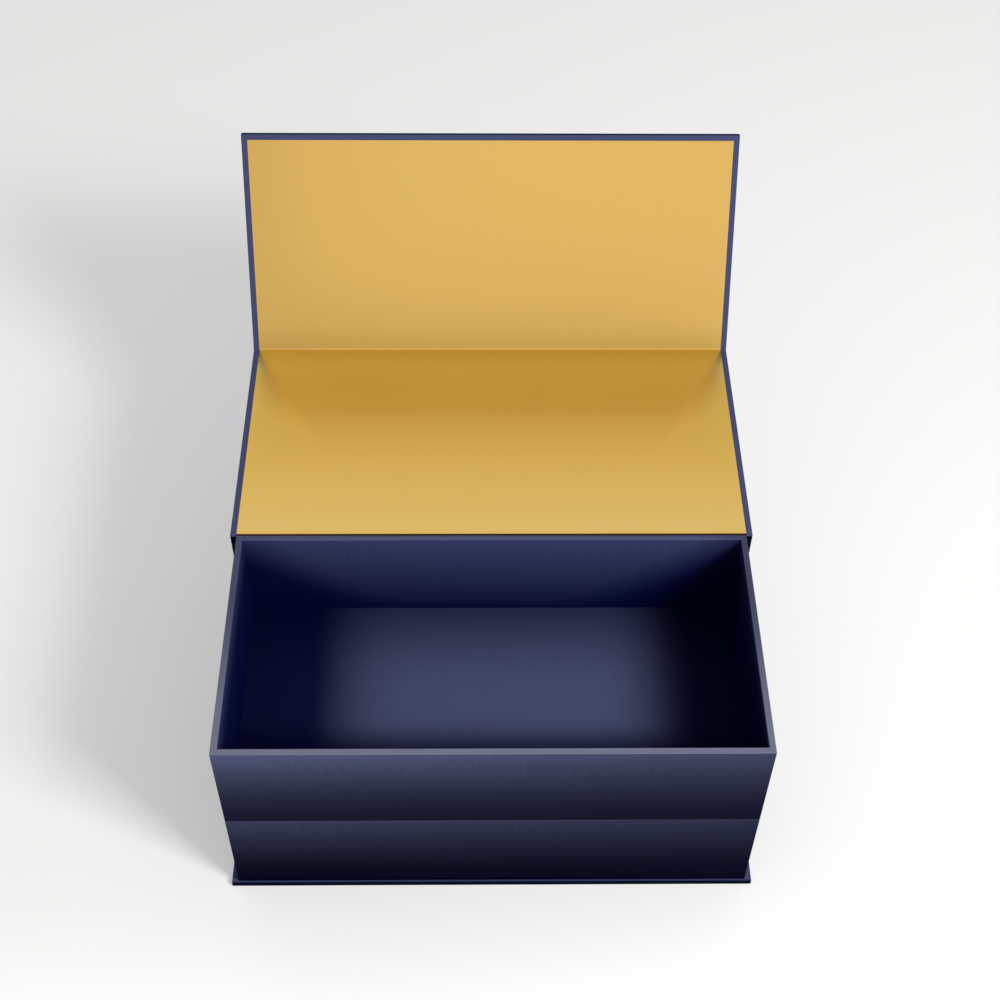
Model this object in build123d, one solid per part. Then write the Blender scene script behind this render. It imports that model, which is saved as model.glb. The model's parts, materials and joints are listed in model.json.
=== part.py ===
from build123d import *
import math
import os

# A gift box in the form of a book-style case. The case has four boards, base, spine, lid and front flap,
# joined by their paper. Two trays of one size stand in it, one on the other: the lower is glued to the
# base and the spine, the upper lifts out. The lid stands open and level, with the flap folded up from
# its far edge. X runs to the right, Y from front to back and Z up. The origin is on the underside of
# the base, under the middle of the trays. Millimetres and degrees.

# Paper and board
board = 2.5  # greyboard, the same in the case and the trays
paper = 0.2  # covering, lining and hinge paper
turn_in = 15.0  # covering paper folded over onto a board's other face
lining_margin = 3.0  # covering paper left bare round the case's lining
lap = 0.5  # a sheet's border over its middle, where the middle lies one paper lower

# Trays
tray_length = 240.0  # outside, left to right
tray_depth = 120.0  # outside, front to back
tray_height = 56.0  # outside, each tray
lift_clearance = 0.3  # the upper tray's back in front of the spine
stay_tape = 0.1  # thickness of the tape round each corner
stay_leg = 20.0  # the tape's reach each way from its corner
bottom_inset = 1.0  # the upper tray's bottom sheet inside the tray's sides

# Case
side_overhang = 3.2  # case past the trays, left and right
front_overhang = 1.2  # base past the trays
lid_drop = 1.0  # open lid's lining below the trays' rim
lid_clearance = 0.3  # closed lid above the rim
lid_gap = 0.4  # open lid behind the spine
hinge_inset = 1.1  # lid hinge's axis inside the spine's outer face
flap_clearance = 0.3  # closed flap in front of the trays
fold_clearance = 0.3  # flap's edge past the lid's inner face, when the flap is square to the lid
fold_seat = 0.3  # lid's front edge short of the flap hinge's axis
flap_rise = 1.5  # closed flap above the base
flap_angle = 65.0  # flap up from the plane of the lid

# Magnets in the flap and the steel discs that they hold to in the lower tray's front wall
magnet_radius = 7.5
magnet_thickness = 1.5
steel_thickness = 1.0
pocket_clearance = 0.1  # round each disc
magnet_spacing = 160.0  # between the two
magnet_height = 25.0  # above the base

# Layers of a case panel, counted from its outer face
board_level = paper + board
lining_level = board_level + paper
panel = lining_level + paper
case_half = tray_length / 2 + side_overhang

# Heights of the trays, and the spine behind them
base_top = lining_level
seam = base_top + tray_height
rim = seam + tray_height
tray_half = tray_length / 2
tray_front = -tray_depth / 2
spine_front = tray_depth / 2
spine_back = spine_front + panel
wall = board + 2 * paper

# Lid hinge: halfway in height between the lining of the open lid and that of the closed lid
lid_lining = rim - lid_drop
lid_under = lid_lining - lining_level
lid_axis_y = spine_back - hinge_inset
lid_axis_z = (lid_lining + rim + lid_clearance + paper) / 2
lid_edge = spine_back + lid_gap

# Flap hinge: the lid's lower front corner when open, so that the closed flap hangs just clear of the trays
closed_flap_face = tray_front - flap_clearance - panel
flap_axis_y = 2 * lid_axis_y - closed_flap_face
flap_axis_z = lid_under
lid_front = flap_axis_y - fold_seat
fold_gap = panel + fold_clearance
closed_lid_top = 2 * lid_axis_z - lid_under
flap_length = closed_lid_top - fold_gap - base_top - flap_rise
magnet_reach = closed_lid_top - base_top - magnet_height


def block(x, y, z):
    """A block between two values of each coordinate."""
    middle = Pos((x[0] + x[1]) / 2, (y[0] + y[1]) / 2, (z[0] + z[1]) / 2)
    return middle * Box(x[1] - x[0], y[1] - y[0], z[1] - z[0])


def across(half):
    """The same distance to the left and to the right of the middle."""
    return (-half, half)


# Case panels, each made lying flat: x across, y from its first edge, z from its outer face


def ends(length, wrapped, inset):
    """Where a layer begins and ends along a panel: inset at a wrapped edge, flush at the others."""
    return (inset if wrapped[0] else 0, length - (inset if wrapped[1] else 0))


def panel_board(length, wrapped):
    """The board of a panel, inside its covering."""
    return block(across(case_half - paper), ends(length, wrapped, paper), (paper, board_level))


def panel_cover(length, wrapped):
    """Covering paper over the outer face and round the edges, turned in onto the inner face."""
    whole = block(across(case_half), (0, length), (0, lining_level))
    inner = (board_level, lining_level)
    window = block(across(case_half - turn_in), ends(length, wrapped, turn_in), inner)
    return whole - panel_board(length, wrapped) - window


def panel_lining(length, wrapped):
    """Lining whose border lies on the turned-in covering and whose middle lies on the board."""
    upper = (lining_level, panel)
    sheet = block(across(case_half - lining_margin), ends(length, wrapped, lining_margin), upper)
    hole = block(across(case_half - turn_in - lap), ends(length, wrapped, turn_in + lap), upper)
    lower = (board_level, lining_level)
    middle = block(across(case_half - turn_in), ends(length, wrapped, turn_in), lower)
    return sheet - hole + middle


def base():
    """Board under the trays; its back edge is covered by the spine's paper."""
    wrapped = (True, False)
    front = tray_front - front_overhang
    length = spine_back - paper - front
    place = Pos(0, front, 0)
    return {
        "base_board": place * panel_board(length, wrapped),
        "base_wrap": place * panel_cover(length, wrapped),
    }


def spine():
    """Upright board on the base, behind the trays. Its papers go over its top edge."""
    wrapped = (False, False)
    top = lid_lining - paper
    length = top - base_top
    place = Pos(0, spine_back, base_top) * Rot(90, 0, 0)
    over_top = (top, lid_lining)
    cap = block(across(case_half - lining_margin), (spine_front, spine_back), over_top)
    apron = block(across(case_half), (spine_back - paper, spine_back), (0, base_top))
    wrap = place * panel_cover(length, wrapped) + apron
    for side in (-1, 1):
        bare = sorted((side * case_half, side * (case_half - lining_margin)))
        wrap += block(bare, (spine_back - lining_level, spine_back), over_top)
    return {
        "spine_board": place * panel_board(length, wrapped),
        "spine_wrap": wrap,
        "spine_lining": place * panel_lining(length, wrapped) + cap,
    }


def lid():
    """Open lid, level behind the spine with its lining up."""
    wrapped = (False, False)
    length = lid_front - lid_edge
    place = Pos(0, lid_edge, lid_under)
    return {
        "lid_board": place * panel_board(length, wrapped),
        "lid_wrap": place * panel_cover(length, wrapped),
        "lid_lining": place * panel_lining(length, wrapped),
    }


def disc_pair(radius, thickness):
    """Two discs standing on the ground plane, as far apart as the magnets."""
    disc = Pos(0, 0, thickness / 2) * Cylinder(radius, thickness)
    return Part() + [Pos(side * magnet_spacing / 2, 0, 0) * disc for side in (-1, 1)]


def flap():
    """Front flap, folded up from the lid, with the magnets let into its board under the lining."""
    wrapped = (False, True)
    hinge = Pos(0, flap_axis_y, flap_axis_z) * Rot(flap_angle, 0, 0)
    place = hinge * Pos(0, fold_gap, 0)
    seat = hinge * Pos(0, magnet_reach, board_level - magnet_thickness)
    pockets = disc_pair(magnet_radius + pocket_clearance, magnet_thickness)
    return {
        "flap_board": place * panel_board(flap_length, wrapped) - seat * pockets,
        "flap_wrap": place * panel_cover(flap_length, wrapped),
        "flap_lining": place * panel_lining(flap_length, wrapped),
        "flap_magnets": seat * disc_pair(magnet_radius, magnet_thickness),
    }


# Paper hinges, each one outline across the hinge, as wide as the case or its lining


def strip(outline, half_width):
    """A sheet with the given outline of (y, z) points."""
    return extrude(Plane.YZ * Polygon(*outline, align=None), half_width, both=True)


def lid_hinge():
    """Covering and lining in the slot between the spine and the open lid."""
    under_lining = lid_lining - paper
    outline = [
        (spine_back, lid_under),
        (lid_edge, lid_under),
        (lid_edge, lid_under + paper),
        (spine_back + paper, lid_under + paper),
        (spine_back + paper, under_lining),
        (spine_back, under_lining),
    ]
    slot = (spine_back, lid_edge)
    over_slot = (under_lining, lid_lining)
    wrap = strip(outline, case_half)
    for side in (-1, 1):
        bare = sorted((side * case_half, side * (case_half - lining_margin)))
        wrap += block(bare, slot, over_slot)
    return {
        "lid_hinge_wrap": wrap,
        "lid_hinge_lining": block(across(case_half - lining_margin), slot, over_slot),
    }


def on_flap(reach, depth):
    """The (y, z) point this far along the flap from its hinge's axis and this deep from its outer face."""
    turn = math.radians(flap_angle)
    y = flap_axis_y + reach * math.cos(turn) - depth * math.sin(turn)
    z = flap_axis_z + reach * math.sin(turn) + depth * math.cos(turn)
    return (y, z)


def flap_hinge():
    """Covering round the outside of the fold between lid and flap, and lining across its inside."""
    inside_fold = paper * math.tan(math.radians(flap_angle) / 2)
    covering = [
        (lid_front, lid_under),
        (flap_axis_y, flap_axis_z),
        on_flap(fold_gap, 0),
        on_flap(fold_gap, paper),
        on_flap(inside_fold, paper),
        (lid_front, lid_under + paper),
    ]
    lining_top = lid_under + panel
    lining = [
        (lid_front - paper, lining_top),
        (lid_front, lining_top),
        on_flap(fold_gap, lining_level),
        on_flap(fold_gap, panel),
    ]
    return {
        "flap_hinge_wrap": strip(covering, case_half),
        "flap_hinge_lining": strip(lining, case_half - lining_margin),
    }


# Trays, each made standing on the ground plane


def tray(name, back, under_sheet):
    """The pieces of one tray, its walls standing on its floor.

    back is its outer back face, and under_sheet the thickness of paper below its turned-in covering.
    """
    floor_under = under_sheet + paper
    floor_top = floor_under + board
    wall_top = tray_height - paper
    outside = (across(tray_half), (tray_front, back))
    boards = (across(tray_half - paper), (tray_front + paper, back - paper))
    inside = (across(tray_half - wall), (tray_front + wall, back - wall))

    wall_height = (floor_top, wall_top)
    between = (tray_front + paper + board, back - paper - board)
    pieces = {
        "floor_board": block(*boards, (floor_under, floor_top)),
        "front_board": block(boards[0], (boards[1][0], between[0]), wall_height),
        "back_board": block(boards[0], (between[1], boards[1][1]), wall_height),
        "left_board": block((-tray_half + paper, -tray_half + paper + board), between, wall_height),
        "right_board": block((tray_half - paper - board, tray_half - paper), between, wall_height),
    }

    taped = block(
        across(tray_half - paper + stay_tape),
        (tray_front + paper - stay_tape, back - paper + stay_tape),
        (floor_under, wall_top),
    )
    round_boards = taped - block(*boards, (floor_under, wall_top))
    stays = Part()
    for x in boards[0]:
        for y in boards[1]:
            corner = block((x - stay_leg, x + stay_leg), (y - stay_leg, y + stay_leg), (0, tray_height))
            stays += round_boards & corner

    cover = block(*outside, (under_sheet, tray_height)) - block(*inside, (floor_top, tray_height))
    turned_in = (across(tray_half - turn_in), (tray_front + turn_in, back - turn_in))
    cover -= block(*turned_in, (under_sheet, floor_under))
    for piece in (*pieces.values(), stays):
        cover -= piece

    pieces["corner_stays"] = stays
    pieces["wrap"] = cover
    pieces["floor_lining"] = block(*inside, (floor_top, floor_top + paper))
    return {name + "_" + key: piece for key, piece in pieces.items()}


def lower_tray():
    """Tray glued to the base, with steel discs let into the outside of its front wall."""
    pieces = tray("lower", spine_front, 0)
    seat = Pos(0, tray_front + paper + steel_thickness, magnet_height) * Rot(90, 0, 0)
    pockets = seat * disc_pair(magnet_radius + pocket_clearance, steel_thickness)
    pieces["lower_front_board"] = pieces["lower_front_board"] - pockets
    pieces["steel_discs"] = seat * disc_pair(magnet_radius, steel_thickness)
    return {name: Pos(0, 0, base_top) * piece for name, piece in pieces.items()}


def upper_tray():
    """Tray that lifts out, with a sheet over its underside that lies on the lower tray's rim."""
    back = spine_front - lift_clearance
    pieces = tray("upper", back, paper)
    border = block(
        across(tray_half - bottom_inset),
        (tray_front + bottom_inset, back - bottom_inset),
        (0, paper),
    )
    hole = block(
        across(tray_half - turn_in - lap),
        (tray_front + turn_in + lap, back - turn_in - lap),
        (0, paper),
    )
    middle = block(
        across(tray_half - turn_in),
        (tray_front + turn_in, back - turn_in),
        (paper, 2 * paper),
    )
    pieces["upper_bottom_sheet"] = border - hole + middle
    return {name: Pos(0, 0, seam) * piece for name, piece in pieces.items()}


os.makedirs("parts", exist_ok=True)
for group in (base(), spine(), lid(), flap(), lid_hinge(), flap_hinge(), lower_tray(), upper_tray()):
    for name, shape in group.items():
        export_step(shape, "parts/" + name + ".step")
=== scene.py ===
import json
import math

import bmesh
import bpy
from mathutils import Matrix, Vector


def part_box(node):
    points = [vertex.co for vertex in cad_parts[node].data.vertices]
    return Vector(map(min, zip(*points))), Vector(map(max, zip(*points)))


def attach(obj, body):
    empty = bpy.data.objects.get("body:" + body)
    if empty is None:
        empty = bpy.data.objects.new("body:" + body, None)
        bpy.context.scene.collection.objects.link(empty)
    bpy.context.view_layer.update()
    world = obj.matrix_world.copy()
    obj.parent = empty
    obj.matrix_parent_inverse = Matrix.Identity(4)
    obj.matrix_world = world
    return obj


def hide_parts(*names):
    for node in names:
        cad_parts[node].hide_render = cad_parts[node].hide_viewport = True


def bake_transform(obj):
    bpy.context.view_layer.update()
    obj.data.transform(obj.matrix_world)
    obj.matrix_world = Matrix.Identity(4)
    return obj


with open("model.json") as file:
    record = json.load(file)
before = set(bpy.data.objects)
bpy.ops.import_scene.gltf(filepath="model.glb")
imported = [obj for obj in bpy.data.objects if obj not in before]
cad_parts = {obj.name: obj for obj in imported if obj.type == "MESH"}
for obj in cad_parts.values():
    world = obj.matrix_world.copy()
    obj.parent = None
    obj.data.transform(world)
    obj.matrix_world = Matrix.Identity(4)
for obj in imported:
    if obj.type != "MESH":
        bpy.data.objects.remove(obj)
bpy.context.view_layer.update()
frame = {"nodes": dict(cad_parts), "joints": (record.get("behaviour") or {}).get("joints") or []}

scene = bpy.context.scene
nodes = frame["nodes"]


# Boards: 2.5 mm grey board, pressed from waste paper, in both trays and in the four panels of the case.
# They show dark flecks and a slight cloudiness, and are hidden under the papers.


class Wire:
    """The output of a node in a material, which can be added, multiplied and compared like a number."""

    def __init__(self, tree, socket=None):
        self.tree = tree
        self.socket = socket

    def feed(self, socket, value):
        """Links a wire to a socket, or sets the socket to a plain value."""
        if isinstance(value, Wire):
            self.tree.links.new(value.socket, socket)
        else:
            socket.default_value = value

    def node(self, kind, settings, values, output=0):
        """Adds a node, with its settings first and then the values or wires of its sockets."""
        made = self.tree.nodes.new("ShaderNode" + kind)
        for name, value in settings.items():
            if name == "stops":
                ramp = made.color_ramp.elements
                ramp[0].position, ramp[0].color = value[0]
                ramp[1].position, ramp[1].color = value[-1]
                for position, colour in value[1:-1]:
                    ramp.new(position).color = colour
            else:
                setattr(made, name, value)
        for name, value in values.items():
            self.feed(made.inputs[name], value)
        return Wire(self.tree, made.outputs[output])

    def maths(self, operation, first, second=0.0):
        """A Math node on two values or wires."""
        return self.node("Math", {"operation": operation}, {0: first, 1: second})

    def __add__(self, other):
        return self.maths("ADD", self, other)

    def __radd__(self, other):
        return self.maths("ADD", other, self)

    def __sub__(self, other):
        return self.maths("SUBTRACT", self, other)

    def __rsub__(self, other):
        return self.maths("SUBTRACT", other, self)

    def __mul__(self, other):
        return self.maths("MULTIPLY", self, other)

    def __rmul__(self, other):
        return self.maths("MULTIPLY", other, self)

    def __pow__(self, other):
        return self.maths("POWER", self, other)

    def __gt__(self, other):
        return self.maths("GREATER_THAN", self, other)

    def __lt__(self, other):
        return self.maths("LESS_THAN", self, other)


def new_finish(name, roughness, metallic=0.0):
    """A material with one shader, as its tree's wire and the shader's sockets."""
    material = bpy.data.materials.new(name)
    material.use_nodes = True
    shader = material.node_tree.nodes["Principled BSDF"].inputs
    shader["Roughness"].default_value = roughness
    shader["Metallic"].default_value = metallic
    return material, Wire(material.node_tree), shader


def place_in(wire, stretch=(1, 1, 1)):
    """The point on the piece in metres, stretched along each axis."""
    point = wire.node("TexCoord", {}, {}, "Object")
    return wire.node("VectorMath", {"operation": "MULTIPLY"}, {0: point, 1: stretch})


def noise(wire, scale, detail, stretch=(1, 1, 1)):
    """Noise of 0 to 1 that stays with the piece, finer with a larger scale or stretch."""
    return wire.node("TexNoise", {}, {"Vector": place_in(wire, stretch), "Scale": scale, "Detail": detail})


def mix_colours(wire, share, first, second):
    """From the first colour at share 0 to the second at share 1."""
    factor, colour_a, colour_b, mixed_colour = 0, 6, 7, 2
    values = {factor: share, colour_a: first, colour_b: second}
    return wire.node("Mix", {"data_type": "RGBA"}, values, mixed_colour)


def raise_by(wire, shader, height, depth):
    """Bumps the surface by a height of 0 to 1, as deep as depth in metres."""
    bump = wire.node("Bump", {}, {"Strength": 1.0, "Distance": depth, "Height": height})
    wire.feed(shader["Normal"], bump)


def greyboard():
    """Cloudy grey with dark flecks of printed waste in it."""
    material, wire, shader = new_finish("pressed_grey_board", 0.9)
    cloud = noise(wire, 90, 3.0)
    fleck = noise(wire, 1500, 2.0)
    ground = mix_colours(wire, cloud, (0.30, 0.28, 0.25, 1), (0.42, 0.40, 0.36, 1))
    dark_flecks = (fleck > 0.62) * 0.5
    wire.feed(shader["Base Color"], mix_colours(wire, dark_flecks, ground, (0.16, 0.15, 0.14, 1)))
    raise_by(wire, shader, fleck, 0.00006)
    return material


grey = greyboard()
for name, board in nodes.items():
    if name.endswith("_board"):
        board.material_slots[0].material = grey


# Corner stays: brown gummed paper tape round each corner of the trays' walls, stuck on before the covering.
# The tape is smooth kraft paper with long fibres across it.
material, wire, shader = new_finish("gummed_paper_tape", 0.65)
fibres = noise(wire, 1.0, 3.0, stretch=(300, 300, 2500))
wire.feed(shader["Base Color"], mix_colours(wire, fibres, (0.36, 0.24, 0.14, 1), (0.58, 0.43, 0.28, 1)))
raise_by(wire, shader, fibres, 0.00002)
for name in ("lower_corner_stays", "upper_corner_stays"):
    nodes[name].material_slots[0].material = material


# Tray coverings: navy paper, glued round the outside of each tray, over the rim and down the inside. Its
# fibres run up and down the walls. Its colour holds painted shade, darker towards the foot and in the
# corners, and a painted highlight that makes the rim pale, most at the front.
wall = 0.0029
tray_half = 0.12
tray_front = -0.06
tray_rounding = 0.0003
# Each pair runs from a painted-shade colour to a painted-light colour, set apart for inside and outside.
# The pale rim colour is a painted highlight.
inner_shades = ((0.0010, 0.003, 0.035, 1), (0.058, 0.070, 0.173, 1))
outer_shades = ((0.0005, 0.0005, 0.0095, 1), (0.080, 0.093, 0.178, 1))
painted_rim_highlight = (0.155, 0.161, 0.230, 1)

# Points closer together than this are one point.
hair = 1e-6


def split_place(wire):
    """The place on the piece as three wires, x, y and z."""
    parts = wire.node("SeparateXYZ", {}, {0: place_in(wire)}).socket.node.outputs
    return [Wire(wire.tree, part) for part in parts]


def climb(wire, value, start, end):
    """0 where the value is at the start, rising smoothly to 1 at the end."""
    return wire.node("MapRange", {"interpolation_type": "SMOOTHSTEP"}, {0: value, 1: start, 2: end})


def navy_paper(name, painted_light_at, shades_at, rim_highlight_at=None):
    """Navy covering paper, given its painted light and shade, its two shades and its painted rim highlight.
    """
    material, wire, shader = new_finish(name, 0.55)
    shader["Specular IOR Level"].default_value = 0.01
    streaks = noise(wire, 1.0, 3.0, stretch=(1500, 1500, 45))
    grain = noise(wire, 2600, 2.0)
    patches = noise(wire, 18, 2.0)
    x, y, z = split_place(wire)
    fibres = 0.65 + streaks * 0.45 + grain * 0.15 + patches * 0.1
    # Painted light and shade, with the fibres' texture laid on it.
    tone = painted_light_at(wire, x, y, z) * fibres
    colour = mix_colours(wire, tone, *shades_at(wire, x, y, z))
    # A painted highlight over the colour where the rim is.
    if rim_highlight_at is not None:
        colour = mix_colours(wire, rim_highlight_at(wire, x, y, z) * fibres, colour, painted_rim_highlight)
    wire.feed(shader["Base Color"], colour)
    wire.feed(shader["Roughness"], 0.48 + grain * 0.12)
    raise_by(wire, shader, streaks * 0.6 + grain * 0.4, 0.000012)
    return material


def tray_paper(name, floor, foot, rim, painted_foot_light, painted_top_light, rim_highlight):
    """The paper of one tray, from the heights of its floor, foot and rim, the painted light of its outside
    at foot and top, and the strength of its painted rim highlight.
    """

    def outside(wire, x, y):
        """1 on the outer half of the walls' thickness and 0 on the inner half."""
        far_side = wire.maths("ABSOLUTE", x) > tray_half - wall / 2
        return wire.maths("MAXIMUM", far_side, wire.maths("ABSOLUTE", y) > -tray_front - wall / 2)

    # Painted shade: darker towards the floor and the foot, in the inner corners and on the outer edge of
    # the rim, with painted light towards the left.
    def painted_light_at(wire, x, y, z):
        up_outside = wire.node("MapRange", {}, {0: z, 1: foot, 2: rim})
        up_inside = wire.node("MapRange", {}, {0: z, 1: floor, 2: rim})
        to_corner = wire.maths("ABSOLUTE", x + 0.004) + (rim - z) * 1.25
        inner = (0.03 + up_inside * 0.76) * (1 - climb(wire, to_corner, 0.092, 0.140) * 0.93)
        lighter_left = 1 - x * 2.4
        darker_rim = 1 - (z > rim - tray_rounding) * 0.5
        outer = (painted_foot_light + up_outside ** 1.9 * (painted_top_light - painted_foot_light)) * lighter_left * darker_rim
        return inner + outside(wire, x, y) * (outer - inner)

    def shades_at(wire, x, y, z):
        return [mix_colours(wire, outside(wire, x, y), *pair) for pair in zip(inner_shades, outer_shades)]

    # A painted highlight on the rim, brightest at the front and towards the left.
    def rim_highlight_at(wire, x, y, z):
        brighter_in_front = 1 - climb(wire, y, -0.058, 0.030) * 0.75
        return (z > rim - tray_rounding) * brighter_in_front * (1 - x * 0.4) * rim_highlight

    return navy_paper(name, painted_light_at, shades_at, rim_highlight_at)


def make_piece(name, mesh, material):
    """Turns a finished bmesh into a piece of the box."""
    bmesh.ops.recalc_face_normals(mesh, faces=mesh.faces)
    data = bpy.data.meshes.new(name)
    mesh.to_mesh(data)
    mesh.free()
    data.materials.append(material)
    piece = bpy.data.objects.new(name, data)
    scene.collection.objects.link(piece)
    return piece


def solid_block(low, high):
    """A bmesh of a block between two corners."""
    mesh = bmesh.new()
    bmesh.ops.create_cube(mesh, size=1.0)
    size = Vector(high) - Vector(low)
    bmesh.ops.scale(mesh, vec=size, verts=mesh.verts)
    bmesh.ops.translate(mesh, vec=(Vector(low) + Vector(high)) / 2, verts=mesh.verts)
    return mesh


def round_off(mesh, radius, chosen):
    """Rounds the edges for which chosen(first end, second end) is true."""
    edges = [e for e in mesh.edges if chosen(e.verts[0].co, e.verts[1].co)]
    bmesh.ops.bevel(mesh, geom=edges, offset=radius, segments=4, profile=0.5, affect="EDGES", material=-1)


def level(first, second, height):
    """Whether an edge lies all along one height."""
    return abs(first.z - height) < hair and abs(second.z - height) < hair


def tray_covering(name, node, floor, material):
    """The covering of one tray: an open box with rounded rim, corners and foot."""
    low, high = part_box(node)
    mesh = solid_block(low, high)
    top = [f for f in mesh.faces if f.normal.z > 0.9]
    bmesh.ops.inset_region(mesh, faces=top, thickness=wall, use_even_offset=True)
    down = bmesh.ops.extrude_discrete_faces(mesh, faces=top)["faces"]
    bmesh.ops.translate(mesh, vec=(0, 0, floor - high.z), verts=down[0].verts)

    def at_rim_or_foot(a, b):
        along_wall = abs(a.x - b.x) < hair or abs(a.y - b.y) < hair
        return (level(a, b, high.z) or level(a, b, low.z)) and along_wall

    def at_outer_corner(a, b):
        return abs(a.z - b.z) > hair and abs(a.x) > tray_half - wall / 2

    round_off(mesh, tray_rounding, lambda a, b: at_rim_or_foot(a, b) or at_outer_corner(a, b))
    return make_piece(name, mesh, material)


low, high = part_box("lower_wrap")
lower_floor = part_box("lower_floor_lining")[0].z
lower_paper = tray_paper(
    "lower_tray_navy_paper", lower_floor, low.z, high.z, painted_foot_light=-0.02, painted_top_light=0.32, rim_highlight=0.15
)
lower_tray = tray_covering("lower_tray_covering", "lower_wrap", lower_floor, lower_paper)
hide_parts("lower_wrap")
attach(lower_tray, "base")

low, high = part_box("upper_wrap")
upper_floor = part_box("upper_floor_lining")[0].z
upper_paper = tray_paper(
    "upper_tray_navy_paper", upper_floor, low.z, high.z, painted_foot_light=0.045, painted_top_light=0.68, rim_highlight=0.86
)
upper_tray = tray_covering("upper_tray_covering", "upper_wrap", upper_floor, upper_paper)
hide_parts("upper_wrap")
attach(upper_tray, "upper_tray")


# Floor linings and bottom sheet: plain rectangles of the same navy paper, one glued on the floor of each
# tray and one under the upper tray. A painted pool of light lightens the middle, with painted shade towards
# the walls.


def floor_painted_light(wire, x, y, z):
    """A painted pool of light in the middle, fading to painted shade at all four sides, soonest to the
    front.
    """
    glow_half = 0.094
    aside = climb(wire, (wire.maths("ABSOLUTE", x - 0.006) * (1 / glow_half)) ** 3, 0.04, 0.95)
    behind = climb(wire, y, 0.010, 0.072)
    ahead = climb(wire, y, -0.008, -0.030)
    return 0.60 * (1 - aside * 0.95) * (1 - behind * 0.8) * (1 - ahead * 0.9)


def floor_shades(wire, x, y, z):
    """The two shades of the floor's paper, which are the same all over it."""
    return (0.0005, 0.001, 0.022, 1), (0.091, 0.106, 0.206, 1)


lining_paper = navy_paper("navy_lining_paper", floor_painted_light, floor_shades)
for name in ("lower_floor_lining", "upper_floor_lining", "upper_bottom_sheet"):
    nodes[name].material_slots[0].material = lining_paper


# Steel discs: zinc-plated discs let into the lower tray's front wall, which the flap's magnets hold to.
# The plating has a fine crystal pattern.
material, wire, shader = new_finish("zinc_plated_steel", 0.35, 1.0)
crystals = wire.node("TexVoronoi", {}, {"Vector": place_in(wire), "Scale": 900})
wire.feed(shader["Base Color"], mix_colours(wire, crystals, (0.42, 0.43, 0.45, 1), (0.68, 0.69, 0.71, 1)))
wire.feed(shader["Roughness"], 0.28 + crystals * 0.2)
nodes["steel_discs"].material_slots[0].material = material


# Magnets: nickel-plated discs, pressed into round pockets in the flap's board and hidden by the lining.
# The plating is bright with a faint haze.
material, wire, shader = new_finish("nickel_plating", 0.2, 1.0)
haze = noise(wire, 700, 4.0)
wire.feed(shader["Base Color"], mix_colours(wire, haze, (0.60, 0.58, 0.54, 1), (0.78, 0.76, 0.72, 1)))
wire.feed(shader["Roughness"], 0.12 + haze * 0.2)
nodes["flap_magnets"].material_slots[0].material = material


# Case back: the base and the spine, covered outside and round their edges by one piece of navy paper. The
# paper runs round the corner where the spine stands on the base, so both are one angled form.
half, spine_back, spine_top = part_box("spine_wrap")[1]
spine_face = spine_back - wall
base_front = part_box("base_wrap")[0].y
base_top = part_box("base_wrap")[1].z
case_rounding = 0.0005
case_shades = ((0.0005, 0.001, 0.012, 1), (0.097, 0.111, 0.245, 1))


def case_painted_shade(wire, x, y, z):
    """Even, but with painted shade at both sides, on the base's ledge and front edge and on the spine's
    inner face.
    """
    # Each limit lies just off its face, so that the face's rounded edge is taken in.
    side = wire.maths("ABSOLUTE", x) > half - 0.0002
    behind = (y > spine_face - 0.0001) * (y < spine_face + 0.0003) * (z < spine_top - 0.0006)
    ledge = (y < tray_front) * (z < base_top + 0.001)
    front = (y < base_front + 0.0004) * (z < base_top + 0.001)
    upright = wire.maths("MAXIMUM", side * 0.4, behind * 0.55)
    return 0.55 - wire.maths("MAXIMUM", upright, ledge * 0.18 + front * 0.38)


def same_shades(wire, x, y, z):
    """The two shades of the case's paper, which are the same all over it."""
    return case_shades


case_paper = navy_paper("case_navy_paper", case_painted_shade, same_shades)


def folded_form(outline, half_width):
    """A bmesh of a form with one outline of (y, z) points all the way across the case."""
    mesh = bmesh.new()
    corners = [mesh.verts.new((-half_width, y, z)) for y, z in outline]
    side = mesh.faces.new(corners)
    across = bmesh.ops.extrude_face_region(mesh, geom=[side])
    moved = [v for v in across["geom"] if isinstance(v, bmesh.types.BMVert)]
    bmesh.ops.translate(mesh, vec=(2 * half_width, 0, 0), verts=moved)
    bmesh.ops.recalc_face_normals(mesh, faces=mesh.faces)
    return mesh


def near(point, y, z):
    """Whether a point lies on the line across the case at (y, z)."""
    return abs(point.y - y) < hair and abs(point.z - z) < hair


outline = [
    (base_front, 0.0),
    (spine_back, 0.0),
    (spine_back, spine_top),
    (spine_face, spine_top),
    (spine_face, base_top),
    (base_front, base_top),
]
mesh = folded_form(outline, half)
rounded_lines = [(base_front, 0.0), (spine_back, 0.0), (base_front, base_top), (spine_face, spine_top)]


def round_on_back(a, b):
    """Every edge of the two sides, and the lines across the case where the paper goes round an edge."""
    on_side = abs(abs(a.x) - half) < hair and abs(a.x - b.x) < hair
    return on_side or any(near(a, y, z) and near(b, y, z) for y, z in rounded_lines)


round_off(mesh, case_rounding, round_on_back)
case_back = make_piece("case_back_covering", mesh, case_paper)
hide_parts("base_wrap", "spine_wrap")
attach(case_back, "base")


# Lid and flap coverings: the same navy paper round the lid's board and the flap's, turned in over their
# edges, which it rounds. The flap stands up 65 degrees from the lid, and its far edge has painted shade.
fold = Vector(next(j for j in frame["joints"] if j["name"] == "flap_hinge")["pos_m"])
fold_gap = 0.0034
flap_end = 0.1139
turn = math.radians(65)


def on_flap(reach, depth):
    """The (y, z) point this far along the open flap from its fold and this deep from its outer face."""
    return (
        fold.y + reach * math.cos(turn) - depth * math.sin(turn),
        fold.z + reach * math.sin(turn) + depth * math.cos(turn),
    )


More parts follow.
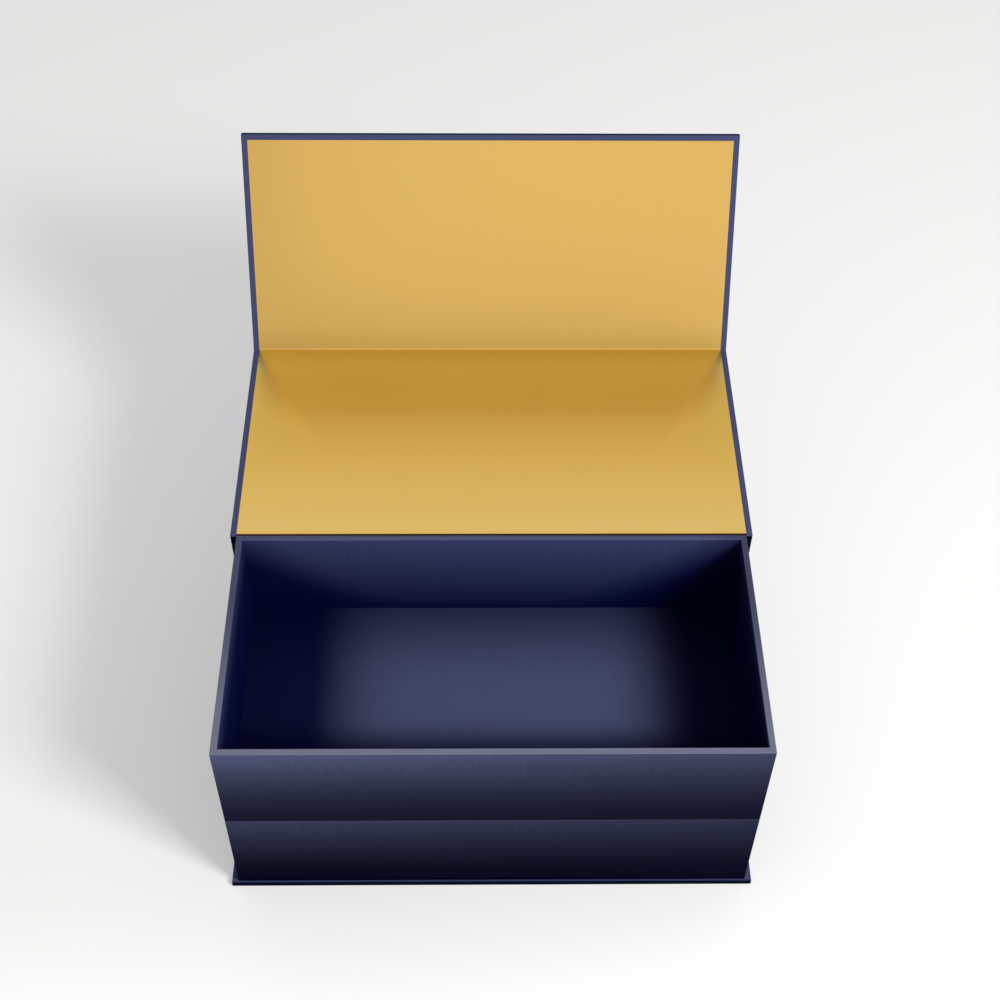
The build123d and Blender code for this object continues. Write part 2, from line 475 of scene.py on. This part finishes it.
low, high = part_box("lid_wrap")
mesh = solid_block(low, high)
round_off(mesh, case_rounding, lambda a, b: abs(a.y - b.y) > hair)
lid_covering = make_piece("lid_covering", mesh, case_paper)
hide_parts("lid_wrap")
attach(lid_covering, "lid")


def flap_painted_shade(wire, x, y, z):
    """The case's painted shade, with more painted shade on the flap's far edge."""
    along = (y - fold.y) * math.cos(turn) + (z - fold.z) * math.sin(turn)
    return case_painted_shade(wire, x, y, z) * (1 - (along > flap_end - 0.0003) * 0.9)


mesh = solid_block((-half, fold_gap, 0), (half, flap_end, wall))
round_off(mesh, case_rounding, lambda a, b: max(a.y, b.y) > flap_end - hair)
stand = Matrix.Translation(fold) @ Matrix.Rotation(turn, 4, "X")
bmesh.ops.transform(mesh, matrix=stand, verts=mesh.verts)
flap_paper = navy_paper("flap_navy_paper", flap_painted_shade, same_shades)
flap_covering = make_piece("flap_covering", mesh, flap_paper)
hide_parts("flap_wrap")
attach(flap_covering, "flap")


# Fold between lid and flap: the covering goes round the outside of the fold and, in the bare margins,
# along its inside.
inside_z = high.z
reach = (inside_z - fold.z - wall * math.cos(turn)) / math.sin(turn)
crease = on_flap(reach, wall)
corners = [
    (high.y, low.z),
    (fold.y, fold.z),
    on_flap(fold_gap, 0),
    on_flap(fold_gap, wall),
    crease,
    (high.y, inside_z),
]
mesh = folded_form(corners, half)


def on_fold_side(a, b):
    """At each end of the fold, the two edges of its outside and the edge inside it next to the flap."""
    if abs(a.x - b.x) > hair:
        return False
    ends = {i for i, corner in enumerate(corners) if near(a, *corner) or near(b, *corner)}
    return ends in ({0, 1}, {1, 2}, {3, 4})


round_off(mesh, case_rounding, on_fold_side)
flap_fold = make_piece("flap_fold_covering", mesh, case_paper)
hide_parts("flap_hinge_wrap")
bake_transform(flap_fold)


# Lid and flap lining: satin gold paper glued on the inside, over the turned-in edges of the covering, and
# cut 3 mm smaller than the case at its sides and far end. One sheet runs over the crease and up the flap.
paper = 0.0002
gold_shades = ((0.98, 0.625, 0.162, 1), (1.0, 0.668, 0.178, 1))
# A dark brown that stands for gold in painted shadow.
shadowed_gold = (0.04, 0.012, 0.01, 1)


def gold_paper(name="satin_gold_paper", painted_shadow_at=None, painted_reflection_at=None):
    """Gold paper, where wanted with painted shadow or with painted shade and reflection that multiply its
    colour.
    """
    material, wire, shader = new_finish(name, 0.3, 1.0)
    grain = noise(wire, 1800, 2.0)
    patches = noise(wire, 14, 2.0)
    tone = grain * 0.3 + patches * 0.7
    colour = mix_colours(wire, tone, *gold_shades)
    if painted_shadow_at is not None:
        colour = mix_colours(wire, painted_shadow_at(wire), colour, shadowed_gold)
    if painted_reflection_at is not None:
        colour = wire.node("VectorMath", {"operation": "MULTIPLY"}, {0: colour, 1: painted_reflection_at(wire)})
    wire.feed(shader["Base Color"], colour)
    wire.feed(shader["Roughness"], 0.19 + grain * 0.08 + patches * 0.04)
    raise_by(wire, shader, grain, 0.000003)
    return material


lining_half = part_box("lid_lining")[1].x
lining_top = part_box("lid_lining")[1].z
lid_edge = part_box("lid_lining")[0].y
reach = (lining_top - fold.z - (wall + paper) * math.cos(turn)) / math.sin(turn)
lining_end = flap_end - 0.003
outline = [
    (lid_edge, lining_top),
    on_flap(reach, wall + paper),
    on_flap(fold_gap, wall + paper),
    on_flap(lining_end, wall + paper),
    on_flap(lining_end, wall),
    on_flap(fold_gap, wall),
    crease,
    (lid_edge, inside_z),
]
mesh = folded_form(outline, lining_half)

# How far along the sheet each point lies, from the lid's edge at the spine. The painted shade and
# reflection go by this, because it stays the same when the sheet bends.
lid_reach = outline[1][0] - lid_edge
from_edge = mesh.verts.layers.float.new("from_edge")
for point in mesh.verts:
    up_flap = (point.co.yz - Vector(outline[1])).length
    point[from_edge] = lid_reach + up_flap if point.co.z > lining_top + hair else point.co.y - lid_edge


def lining_painted_reflection(wire):
    """Painted shade and reflection: darkest across the lid's middle, but not at its sides, and in a thin
    band just above the crease.
    """
    x = split_place(wire)[0]
    along = wire.node("Attribute", {"attribute_name": "from_edge"}, {}, "Fac")
    share = wire.node("MapRange", {}, {0: along, 1: 0.0, 2: lid_reach})
    # Painted reflection along the lid: pale at its edge, darkest across its middle, greener towards the
    # crease.
    stops = [
        (0.0, (1.0, 1.05, 1.24, 1)),
        (0.20, (1.0, 0.99, 1.00, 1)),
        (0.38, (0.98, 0.94, 0.83, 1)),
        (0.62, (0.89, 0.88, 0.69, 1)),
        (0.78, (0.94, 1.09, 1.00, 1)),
        (0.90, (1.0, 1.20, 1.38, 1)),
        (1.0, (0.96, 1.13, 1.12, 1)),
    ]
    lid_shades = wire.node("ValToRGB", {"stops": stops}, {0: share})
    # Less painted shade towards the lid's sides, away from the crease.
    slant = wire.maths("ABSOLUTE", x) + (lid_reach - along) * 0.5
    off_crease = climb(wire, share, 0.25, 0.70) * climb(wire, share, 0.95, 0.80)
    at_sides = climb(wire, slant, 0.115, 0.123) * off_crease
    lid_shades = mix_colours(wire, at_sides, lid_shades, (1.0, 0.99, 0.81, 1))
    # A thin band of painted shade on the flap, just above the crease.
    toned_width = 0.013
    up_band = wire.node("MapRange", {}, {0: along, 1: lid_reach, 2: lid_reach + toned_width})
    plain = (1.0, 0.965, 1.0, 1)
    stops = [(0.0, plain), (0.06, plain), (0.11, (0.90, 0.85, 0.80, 1)), (1.0, plain)]
    flap_shades = wire.node("ValToRGB", {"stops": stops}, {0: up_band})
    return mix_colours(wire, along > lid_reach, lid_shades, flap_shades)


gold = gold_paper(painted_reflection_at=lining_painted_reflection)
lining = make_piece("lid_and_flap_lining", mesh, gold)
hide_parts("lid_lining", "flap_lining", "flap_hinge_lining")
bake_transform(lining)


# Spine lining: the same gold paper up the inside of the spine and over its top edge. It has painted shadow
# where it bends down behind the trays, and where it sticks out beside them.


def bend_painted_shadow(wire):
    """1 on the part of the lining that has painted shadow, and 0 elsewhere."""
    x, y, z = split_place(wire)
    along_bend = climb(wire, z, lining_top - 0.0030, lining_top - 0.0015)
    beside = wire.maths("ABSOLUTE", x) > tray_half - 0.0003
    in_front = 1 - climb(wire, y, spine_face + 0.0008, spine_face + 0.0013)
    return wire.maths("MAXIMUM", along_bend, beside) * in_front


outline = [
    (spine_face - paper, base_top),
    (spine_face - paper, lining_top),
    (spine_back, lining_top),
    (spine_back, inside_z),
    (spine_face, inside_z),
    (spine_face, base_top),
]
mesh = folded_form(outline, lining_half)
bend = outline[1]
bend_radius = 0.0008
round_off(mesh, bend_radius, lambda a, b: near(a, *bend) and near(b, *bend))
spine_lining = make_piece("spine_gold_lining", mesh, gold_paper("bent_gold_paper", bend_painted_shadow))
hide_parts("spine_lining")
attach(spine_lining, "base")


# Lid hinge: the covering folds down into the slot between spine and lid, and the lining crosses the slot's
# top, with the covering beside it in the bare margins.


def hinge_sheet(start, end, sides, cuts):
    """A bmesh of paper from one (y, z) line across the case to another, cut into strips along the way."""
    (y, z), (far_y, far_z) = start, end
    mesh = bmesh.new()
    for low_x, high_x in sides:
        ends = [(y, z), (far_y, far_z), (far_y, far_z + paper), (y, z + paper)]
        face = mesh.faces.new([mesh.verts.new((low_x, a, b)) for a, b in ends])
        across = bmesh.ops.extrude_face_region(mesh, geom=[face])
        moved = [v for v in across["geom"] if isinstance(v, bmesh.types.BMVert)]
        bmesh.ops.translate(mesh, vec=(high_x - low_x, 0, 0), verts=moved)
    along = [e for e in mesh.edges if abs(e.verts[0].co.x - e.verts[1].co.x) < hair]
    along = [e for e in along if abs(e.verts[0].co.y - e.verts[1].co.y) > hair]
    bmesh.ops.subdivide_edges(mesh, edges=along, cuts=cuts, use_grid_fill=True)
    return mesh


slot_top = inside_z - paper
lid_underside = 0.1110
mesh = hinge_sheet((spine_back, slot_top - paper), (lid_edge, lid_underside), [(-half, half)], cuts=9)
hinge_covering = make_piece("lid_hinge_covering", mesh, case_paper)
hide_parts("lid_hinge_wrap")
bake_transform(hinge_covering)

margins = [(-half, -lining_half), (lining_half, half)]
mesh = hinge_sheet((spine_back, slot_top), (lid_edge, slot_top), margins, cuts=7)
hinge_margins = make_piece("lid_hinge_margins", mesh, case_paper)
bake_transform(hinge_margins)

mesh = hinge_sheet((spine_back, inside_z), (lid_edge, inside_z), [(-lining_half, lining_half)], cuts=7)
hinge_lining = make_piece("lid_hinge_gold_lining", mesh, gold)
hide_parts("lid_hinge_lining")
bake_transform(hinge_lining)


# Studio: a white floor that glows, with painted light that makes it brightest in front of the box, where
# the box shades it, and a dim white surround. Soft lights stand round the box, the strongest at the front
# on the right, so that the flap's shadow falls to the left.
mesh = bmesh.new()
bmesh.ops.create_grid(mesh, x_segments=1, y_segments=1, size=15.0)
material, wire, shader = new_finish("studio_floor", 0.9)
shader["Base Color"].default_value = (0.585, 0.585, 0.581, 1)
# Painted light: the floor glows brighter in front of the box.
ahead = climb(wire, split_place(wire)[1], -0.055, -0.150)
wire.feed(shader["Emission Color"], mix_colours(wire, ahead, (0.76, 0.76, 0.755, 1), (1, 1, 0.995, 1)))
shader["Emission Strength"].default_value = 0.41
floor = make_piece("studio_floor", mesh, material)

world = bpy.data.worlds.new("studio")
scene.world = world
world.use_nodes = True
surround = world.node_tree.nodes["Background"].inputs
surround["Color"].default_value = (1, 1, 0.99, 1)
surround["Strength"].default_value = 0.49
scene.view_settings.view_transform = "Standard"


def soft_light(name, place, width, height, power):
    """An area light at a place, turned to the middle of the box."""
    box_middle = Vector((0, 0.06, 0.08))
    data = bpy.data.lights.new(name, "AREA")
    data.shape = "RECTANGLE"
    data.size = width
    data.size_y = height
    data.energy = power
    light = bpy.data.objects.new(name, data)
    scene.collection.objects.link(light)
    light.location = place
    light.rotation_euler = (box_middle - Vector(place)).to_track_quat("-Z", "Y").to_euler()
    return light


key = soft_light("key_right", (0.95, -0.75, 1.15), width=0.45, height=0.45, power=24.0)
soft_light("back_top", (0.0, 0.81, 1.38), width=1.4, height=0.8, power=1.01)
soft_light("front_low", (0.15, -1.33, 0.57), width=1.0, height=0.6, power=0.63)
soft_light("left_fill", (-0.75, 0.06, 1.38), width=0.7, height=0.7, power=0.3)

# The key light is small and strong, and its mirror image would burn out the gold in views from the left.
key.visible_glossy = False

# Camera: the place, turn and lens that put the box's corners where the photograph has them. It looks down
# on the box from the front, almost straight ahead.
below_level = 0.860
to_right = 0.0208
roll = 0.0149
data = bpy.data.cameras.new("camera")
data.sensor_width = 36.0
data.lens = 58.30
camera = bpy.data.objects.new("camera", data)
scene.collection.objects.link(camera)
camera.rotation_mode = "QUATERNION"
camera.location = (-0.00654, -0.42473, 0.70305)
pitch = Matrix.Rotation(math.pi / 2 - below_level, 4, "X")
heading = Matrix.Rotation(-to_right, 4, "Z") @ pitch @ Matrix.Rotation(roll, 4, "Z")
camera.rotation_quaternion = heading.to_quaternion()
scene.camera = camera
